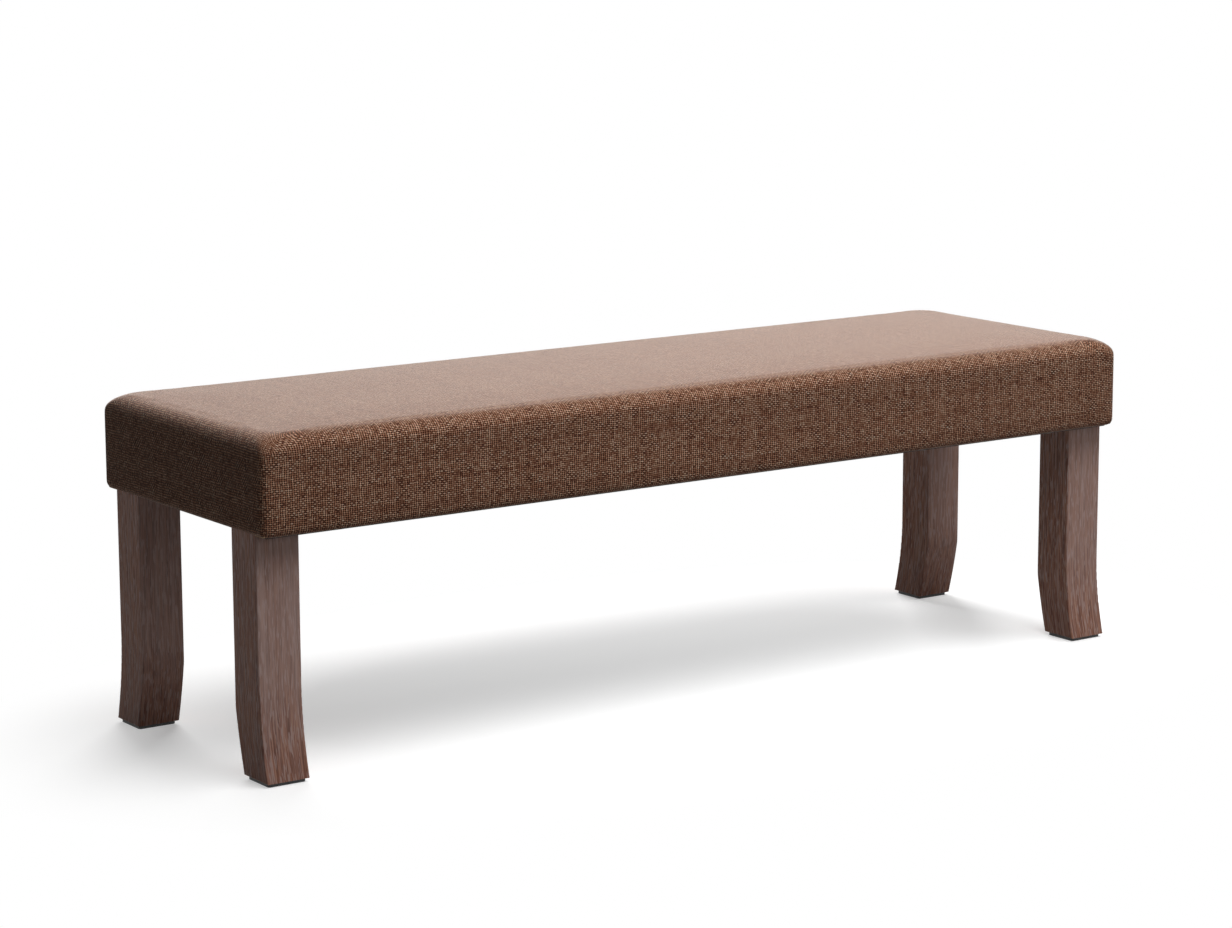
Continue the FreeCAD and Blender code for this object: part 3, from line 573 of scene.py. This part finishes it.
def simulated_moves(piece, frames):
    """Run a piece's cloth simulation for some frames, and give how far each point moved."""
    rest = np.array([point.co for point in piece.data.vertices])
    piece.modifiers[-1].point_cache.frame_end = frames
    scene = bpy.context.scene
    for number in range(1, frames + 1):
        scene.frame_set(number)
    shown = piece.evaluated_get(bpy.context.evaluated_depsgraph_get())
    moved = np.array([point.co for point in shown.data.vertices]) - rest
    piece.modifiers.clear()
    scene.frame_set(1)
    return moved


# materials


class Nodes:
    """Short calls for the nodes of one material."""

    def __init__(self, name):
        self.material = bpy.data.materials.new(name)
        self.material.use_nodes = True
        self.tree = self.material.node_tree
        self.tree.nodes.clear()
        self.output = self.tree.nodes.new("ShaderNodeOutputMaterial")

    def put(self, socket, value):
        """Link a socket to another one, or give it a plain value."""
        if isinstance(value, bpy.types.NodeSocket):
            self.tree.links.new(value, socket)
        else:
            socket.default_value = value

    def add(self, kind, inputs=None, **settings):
        node = self.tree.nodes.new(kind)
        for name, value in settings.items():
            setattr(node, name, value)
        for name, value in (inputs or {}).items():
            self.put(node.inputs[name], value)
        return node

    def math(self, operation, *values):
        node = self.add("ShaderNodeMath", operation=operation)
        for socket, value in zip(node.inputs, values):
            self.put(socket, value)
        return node.outputs[0]

    def vector(self, operation, *values):
        node = self.add("ShaderNodeVectorMath", operation=operation)
        for socket, value in zip(node.inputs, values):
            self.put(socket, value)
        return node.outputs[0]

    def joined(self, x, y, z=0):
        return self.add("ShaderNodeCombineXYZ", {"X": x, "Y": y, "Z": z}).outputs[0]

    def split(self, vector):
        return self.add("ShaderNodeSeparateXYZ", {"Vector": vector}).outputs

    def noise(self, vector, scale, detail=2, roughness=0.5):
        inputs = {"Vector": vector, "Scale": scale, "Detail": detail, "Roughness": roughness}
        return self.add("ShaderNodeTexNoise", inputs).outputs["Fac"]

    def white(self, vector):
        node = self.add("ShaderNodeTexWhiteNoise", {"Vector": vector}, noise_dimensions="2D")
        return node.outputs["Value"]

    def ramp(self, value, *stops):
        """A colour for a value, through (position, colour) stops."""
        node = self.add("ShaderNodeValToRGB", {"Fac": value})
        elements = node.color_ramp.elements
        while len(elements) < len(stops):
            elements.new(0.5)
        for element, (position, colour) in zip(elements, stops):
            element.position = position
            element.color = (*colour, 1)
        return node.outputs["Color"]

    def two_tone(self, value, colours, low=NOISE_LOW):
        """A colour for a value, from a dark to a light one."""
        dark, light = colours
        return self.ramp(value, (low, dark), (NOISE_HIGH, light))

    def level(self, value, low, high, to_low=0, to_high=1):
        """A value's place between two levels, brought to another pair of levels."""
        inputs = {"Value": value, "From Min": low, "From Max": high, "To Min": to_low, "To Max": to_high}
        return self.add("ShaderNodeMapRange", inputs, clamp=True).outputs["Result"]

    def mix(self, share, first, second):
        """A mix of two colours."""
        node = self.add("ShaderNodeMix", data_type="RGBA")
        self.put(node.inputs["Factor"], share)
        for socket, value in zip((node.inputs[6], node.inputs[7]), (first, second)):
            self.put(socket, (*value, 1) if isinstance(value, tuple) else value)
        return node.outputs[2]

    def blend(self, share, first, second):
        """A mix of two shaders."""
        node = self.add("ShaderNodeMixShader", {"Fac": share})
        for socket, shader in zip(list(node.inputs)[1:], (first, second)):
            self.tree.links.new(shader.outputs[0], socket)
        return node

    def bump(self, height, distance, strength):
        inputs = {"Height": height, "Distance": distance, "Strength": strength}
        return self.add("ShaderNodeBump", inputs).outputs["Normal"]

    def place(self):
        return self.add("ShaderNodeTexCoord").outputs["Object"]

    def surface(self, **inputs):
        named = {name.replace("_", " "): value for name, value in inputs.items()}
        shader = self.add("ShaderNodeBsdfPrincipled", named)
        self.tree.links.new(shader.outputs[0], self.output.inputs["Surface"])
        return self.material


def make_fabric():
    """A coarse plain weave of uneven two-tone threads, with shade painted dark into the low gaps between
    them, and a soft nap that lights up at a low angle.
    """
    nodes = Nodes("seat_weave")
    threads = nodes.add("ShaderNodeUVMap", uv_map="weave").outputs["UV"]
    place = nodes.split(threads)
    wander = nodes.add("ShaderNodeTexNoise", {"Vector": threads, "Scale": WANDER_SCALE, "Detail": 1})
    drift = nodes.split(wander.outputs["Color"])
    along_u = nodes.math("MULTIPLY_ADD", place["X"], 1 / THREAD_PITCH_U, drift["X"])
    along_v = nodes.math("MULTIPLY_ADD", place["Y"], 1 / THREAD_PITCH_V, drift["Y"])
    rise_u, tone_u = thread(nodes, along_u, along_v, 0, THREAD_DIP_U)
    rise_v, tone_v = thread(nodes, along_v, along_u, 1, THREAD_DIP_V)
    lean = nodes.level(nodes.noise(threads, PATCH_SCALE), *PATCH_LEVELS, *PATCH_LEAN)
    tone_u = nodes.math("ADD", tone_u, lean)
    tone_v = nodes.math("SUBTRACT", tone_v, lean)
    u_on_top = nodes.math("GREATER_THAN", rise_u, rise_v)
    height = nodes.math("MAXIMUM", rise_u, rise_v)
    choice = {"Factor": u_on_top, "A": tone_v, "B": tone_u}
    tone = nodes.add("ShaderNodeMix", choice, data_type="FLOAT").outputs[0]
    yarn = nodes.ramp(tone, *zip(YARN_TONES, YARN_COLOURS))
    # painted shade: the colour goes near-black where the weave lies low, between the threads and where one
    # dips under another
    colour = nodes.mix(nodes.level(height, *GAP_SHADE_LEVELS), GAP_SHADE_COLOUR, yarn)
    broad = nodes.noise(threads, BROAD_SCALE, 3)
    colour = nodes.mix(nodes.level(broad, NOISE_LOW, NOISE_HIGH, 0, BROAD_SHARE), colour, BROAD_COLOUR)
    nap = nodes.noise(threads, NAP_SCALE)
    normal = nodes.bump(nodes.math("MULTIPLY_ADD", nap, NAP_SHARE, height), THREAD_RELIEF, 0.55)
    return nodes.surface(
        Base_Color=colour, Roughness=0.92, Normal=normal, Specular_IOR_Level=0.02,
        Sheen_Weight=1.0, Sheen_Roughness=0.3, Sheen_Tint=NAP_TINT)


def thread(nodes, across, along, parity, dip):
    """One set of threads: how high each point of it rises, and how light its yarn is there."""
    number = nodes.math("FLOOR", across)
    within = nodes.math("FRACT", across)
    hump = nodes.math("SINE", nodes.math("MULTIPLY", within, math.pi))
    phase = nodes.math("ADD", nodes.math("ADD", along, parity - 0.5), number)
    wave = nodes.math("COSINE", nodes.math("MULTIPLY", phase, math.pi))
    lift = nodes.math("MULTIPLY_ADD", wave, dip, 1 - dip)
    rise = nodes.math("MULTIPLY", nodes.math("POWER", hump, THREAD_ROUNDNESS), lift)
    own = nodes.white(nodes.joined(number, parity))
    run = nodes.joined(
        nodes.math("MULTIPLY", number, SLUB_SPACING), nodes.math("MULTIPLY", along, SLUB_RUN), parity)
    slub = nodes.level(nodes.noise(run, 1), NOISE_LOW, NOISE_HIGH, *SLUB_TONES)
    return rise, nodes.math("MULTIPLY_ADD", own, THREAD_TONE, slub)


def make_wood(name, along, colours, streaks, roughness, grain, sawn=0):
    """Timber with its grain along one axis: fibres, grey streaks and flecks, greyer on flat-sawn faces and
    darker towards the foot.
    """
    nodes = Nodes(name)
    place, low_down = along_the_flare(nodes)
    across, length = grain
    stretch = tuple(length if axis == along else across for axis in range(3))
    shorten = tuple(FLECK_SHORTNESS if axis == along else 1 for axis in range(3))
    fine = nodes.vector("MULTIPLY", place, stretch)
    short = nodes.vector("MULTIPLY", fine, shorten)
    fibres = nodes.noise(fine, 1, 4, 0.62)
    wide = nodes.noise(fine, STREAK_SCALE)
    flecks = nodes.level(nodes.noise(nodes.vector("ADD", short, FLECK_OFFSET), 1, 1), *FLECK_LEVELS)
    facing = nodes.split(nodes.add("ShaderNodeTexCoord").outputs["Normal"])
    flat_sawn = nodes.math("MULTIPLY", nodes.math("ABSOLUTE", facing["Y"]), sawn)
    flat_sawn = nodes.math("MULTIPLY", flat_sawn, nodes.math("SUBTRACT", 1, low_down))
    grey = nodes.math("ADD", nodes.level(wide, *STREAK_LEVELS, 0, STREAK_SHARE), flat_sawn)
    colour = nodes.ramp(fibres, *zip(FIBRE_LEVELS, colours))
    colour = nodes.mix(grey, colour, streaks)
    colour = nodes.mix(nodes.math("MULTIPLY", flecks, FLECK_SHARE), colour, streaks)
    # the colour goes darker towards the bottom of the foot
    colour = nodes.mix(nodes.math("MULTIPLY", low_down, FOOT_DARKENING), colour, colours[0])
    height = nodes.math("SUBTRACT", nodes.math("MULTIPLY", fibres, FIBRE_RELIEF), flecks)
    gloss = nodes.level(fibres, NOISE_LOW, NOISE_HIGH, roughness - GLOSS_SPREAD, roughness + GLOSS_SPREAD)
    normal = nodes.bump(height, WOOD_RELIEF, 0.5)
    return nodes.surface(Base_Color=colour, Roughness=gloss, Normal=normal, Specular_IOR_Level=WOOD_GLOSS)


def along_the_flare(nodes):
    """Places drawn back by the flare of the foot, so that the grain follows it, and how low they are."""
    place = nodes.split(nodes.place())
    low_down = nodes.level(place["Z"], 0, FLARE_HEIGHT, 1, 0)
    reach = nodes.math("MULTIPLY", nodes.math("MULTIPLY", low_down, low_down), FLARE_REACH)
    outwards = nodes.math("MULTIPLY", nodes.math("SIGN", place["Y"]), reach)
    return nodes.joined(place["X"], nodes.math("SUBTRACT", place["Y"], outwards), place["Z"]), low_down


def make_plastic():
    """Black moulded pads with a fine grain."""
    nodes = Nodes("glide_plastic_grain")
    place = nodes.place()
    wear = nodes.noise(place, PLASTIC_WEAR, 3)
    grain = nodes.bump(nodes.noise(place, PLASTIC_GRAIN), PLASTIC_RELIEF, 0.4)
    dullness = nodes.level(wear, NOISE_LOW, NOISE_HIGH, 0.42, 0.6)
    colour = nodes.two_tone(wear, PLASTIC_COLOURS)
    return nodes.surface(Base_Color=colour, Roughness=dullness, Normal=grain)


def make_steel():
    """Zinc-plated steel with dull spots."""
    nodes = Nodes("zinc_plate")
    spots = nodes.noise(nodes.place(), ZINC_SPOTS, 3)
    dullness = nodes.level(spots, NOISE_LOW, NOISE_HIGH, 0.28, 0.5)
    return nodes.surface(
        Base_Color=nodes.two_tone(spots, ZINC_COLOURS), Metallic=1.0, Roughness=dullness,
        Normal=nodes.bump(spots, ZINC_RELIEF, 0.4))


def make_cloth(name, pitch, colours):
    """A plain weave by place, for the jute webbing and the hessian, varied by its fibre and with shade
    painted where the weave lies low.
    """
    nodes = Nodes(name)
    place = nodes.place()
    waves = [nodes.math("MULTIPLY", nodes.split(place)[axis], math.pi / pitch) for axis in "XY"]
    height = nodes.math("MAXIMUM", *(nodes.math("ABSOLUTE", nodes.math("SINE", wave)) for wave in waves))
    fibre = nodes.noise(place, CLOTH_FIBRE, 3)
    # partly the fibre's own tone, partly painted shade in the low gaps of the weave
    colour = nodes.mix(nodes.math("MULTIPLY", height, fibre), *colours)
    normal = nodes.bump(height, CLOTH_RELIEF, 0.7)
    return nodes.surface(Base_Color=colour, Roughness=CLOTH_ROUGHNESS, Normal=normal)


def make_foam_look():
    """Open-cell foam, with shade painted dark into its pores."""
    nodes = Nodes("open_cell_foam")
    pores = nodes.add("ShaderNodeTexVoronoi", {"Vector": nodes.place(), "Scale": FOAM_CELLS})
    cells = pores.outputs["Distance"]
    # painted shade: the colour is darkest in the pores, where the surface lies low
    return nodes.surface(
        Base_Color=nodes.two_tone(cells, FOAM_COLOURS, low=0.1), Roughness=CLOTH_ROUGHNESS,
        Normal=nodes.bump(cells, FOAM_RELIEF, 0.6))


def make_wadding_look():
    """Soft polyester fibre."""
    nodes = Nodes("wadding_fibre")
    fibre = nodes.noise(nodes.place(), WADDING_FIBRE, 6, 0.7)
    return nodes.surface(
        Base_Color=nodes.two_tone(fibre, WADDING_COLOURS), Roughness=1.0,
        Normal=nodes.bump(fibre, WADDING_RELIEF, 0.6), Sheen_Weight=0.3)


def make_dust_look():
    """Black non-woven cloth, with the dimples of its spot bonding."""
    nodes = Nodes("dust_cloth_bonded")
    place = nodes.place()
    bonding = {"Vector": place, "Scale": DUST_DIMPLES, "Randomness": 0.25}
    dimples = nodes.add("ShaderNodeTexVoronoi", bonding).outputs["Distance"]
    fibre = nodes.noise(place, DUST_FIBRE, 5, 0.7)
    height = nodes.math("ADD", dimples, fibre)
    return nodes.surface(
        Base_Color=nodes.two_tone(fibre, DUST_COLOURS), Roughness=0.85,
        Normal=nodes.bump(height, DUST_RELIEF, 0.5), Sheen_Weight=0.15)


def dress(names, material):
    """Give CAD nodes a material in their slots."""
    for name in names:
        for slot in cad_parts[name].material_slots:
            slot.material = material


def dress_frame():
    legs = make_wood("leg_stain", 2, LEG_COLOURS, LEG_STREAKS, LEG_ROUGHNESS, LEG_GRAIN, LEG_SAWN)
    dress([f"{corner}_leg" for corner in CORNERS], legs)
    pine = (PINE_COLOURS, PINE_STREAKS, PINE_ROUGHNESS, PINE_GRAIN)
    long_grain = make_wood("frame_pine_long", 0, *pine)
    cross_grain = make_wood("frame_pine_cross", 1, *pine)
    dress(SIDE_RAILS, long_grain)
    dress([f"{corner}_corner_block" for corner in CORNERS], long_grain)
    dress((*END_RAILS, *CROSS_RAILS, "end_rail_dowels"), cross_grain)
    dress(STEEL_NODES, make_steel())
    dress([f"{corner}_glide" for corner in CORNERS], make_plastic())
    straps = [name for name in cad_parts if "strap" in name]
    dress(straps, make_cloth("jute_webbing", JUTE_PITCH, JUTE_COLOURS))
    dress(["hessian_sheet"], make_cloth("hessian_weave", HESSIAN_PITCH, HESSIAN_COLOURS))
    dress(["foam_pad"], make_foam_look())
    dress(["wadding"], make_wadding_look())


# the room, the lights and the camera


def make_floor():
    """A pale floor that keeps the bench's shadow, fades to a white glow round it, which starts under the
    bench's ends and paints light into the shadow there, and gives back little light.
    """
    corners = [(x * FLOOR_REACH, y * FLOOR_REACH, 0) for x, y in ((-1, -1), (1, -1), (1, 1), (-1, 1))]
    floor = new_piece("studio_floor", corners, [(0, 1, 2, 3)])
    nodes = Nodes("floor_white")
    scaled = nodes.vector("MULTIPLY", nodes.place(), (1 / FLOOR_FADE_LENGTH, 1 / FLOOR_FADE_WIDTH, 0))
    away = nodes.add("ShaderNodeVectorMath", {0: scaled}, operation="LENGTH").outputs["Value"]
    paint = nodes.add("ShaderNodeBsdfDiffuse", {"Color": (FLOOR_PAINT, FLOOR_PAINT, FLOOR_PAINT, 1)})
    dull = nodes.add("ShaderNodeBsdfDiffuse", {"Color": (FLOOR_DULL, FLOOR_DULL, FLOOR_DULL, 1)})
    white = nodes.add("ShaderNodeEmission")
    # painted light: the white glow starts inside the bench's shadow and lightens it at the bench's ends
    shown = nodes.blend(nodes.level(away, 1, FLOOR_FADE_END), paint, white)
    floor_look = nodes.blend(seen_directly(nodes), dull, shown)
    nodes.tree.links.new(floor_look.outputs[0], nodes.output.inputs["Surface"])
    floor.data.materials.append(nodes.material)


def seen_directly(nodes):
    """One where a ray comes from the camera, a gloss or through glass, and zero for light."""
    rays = nodes.add("ShaderNodeLightPath").outputs
    seen = nodes.math("MAXIMUM", rays["Is Camera Ray"], rays["Is Glossy Ray"])
    return nodes.math("MAXIMUM", seen, rays["Is Transmission Ray"])


class WorldNodes(Nodes):
    """The same short calls for the nodes of the world."""

    def __init__(self, name):
        world = bpy.data.worlds.new(name)
        world.use_nodes = True
        self.tree = world.node_tree
        self.tree.nodes.clear()
        self.output = self.tree.nodes.new("ShaderNodeOutputWorld")
        bpy.context.scene.world = world


def make_world():
    nodes = WorldNodes("studio_white")
    strength = nodes.level(seen_directly(nodes), 0, 1, AMBIENT, 1)
    light = nodes.add("ShaderNodeBackground", {"Color": (1, 1, 1, 1), "Strength": strength})
    nodes.tree.links.new(light.outputs[0], nodes.output.inputs["Surface"])


def add_softbox(name, place, width, height, power):
    data = bpy.data.lights.new(name, "AREA")
    data.shape = "RECTANGLE"
    data.size = width
    data.size_y = height
    data.energy = power
    lamp = bpy.data.objects.new(name, data)
    bpy.context.scene.collection.objects.link(lamp)
    lamp.location = place
    lamp.rotation_euler = (LAMP_TARGET - place).to_track_quat("-Z", "Y").to_euler()
    lamp.visible_camera = False


def add_lights():
    add_softbox("key_light", *KEY_LIGHT)
    add_softbox("back_light", *BACK_LIGHT)
    add_softbox("front_light", *FRONT_LIGHT)


def add_camera():
    forward = Vector((
        math.sin(CAMERA_YAW) * math.cos(CAMERA_PITCH), math.cos(CAMERA_YAW) * math.cos(CAMERA_PITCH),
        -math.sin(CAMERA_PITCH)))
    level_right = Vector((math.cos(CAMERA_YAW), -math.sin(CAMERA_YAW), 0))
    level_up = level_right.cross(forward)
    right = level_right * math.cos(CAMERA_ROLL) + level_up * math.sin(CAMERA_ROLL)
    up = level_up * math.cos(CAMERA_ROLL) - level_right * math.sin(CAMERA_ROLL)
    data = bpy.data.cameras.new("photo_camera")
    data.sensor_fit = "HORIZONTAL"
    data.sensor_width = SENSOR_WIDTH
    data.lens = FOCAL_PIXELS * SENSOR_WIDTH / PHOTO_WIDTH
    data.clip_end = VIEW_REACH
    camera = bpy.data.objects.new("photo_camera", data)
    bpy.context.scene.collection.objects.link(camera)
    turn = camera.matrix_world.to_3x3()
    for column, axis in enumerate((right, up, -forward)):
        turn.col[column] = axis
    camera.matrix_world = turn.to_4x4()
    camera.location = CAMERA_PLACE
    bpy.context.scene.camera = camera


add_camera()
make_world()
make_floor()
add_lights()
dress_frame()
make_seat()
make_dust_cover()
bpy.context.scene.view_settings.view_transform = "Standard"
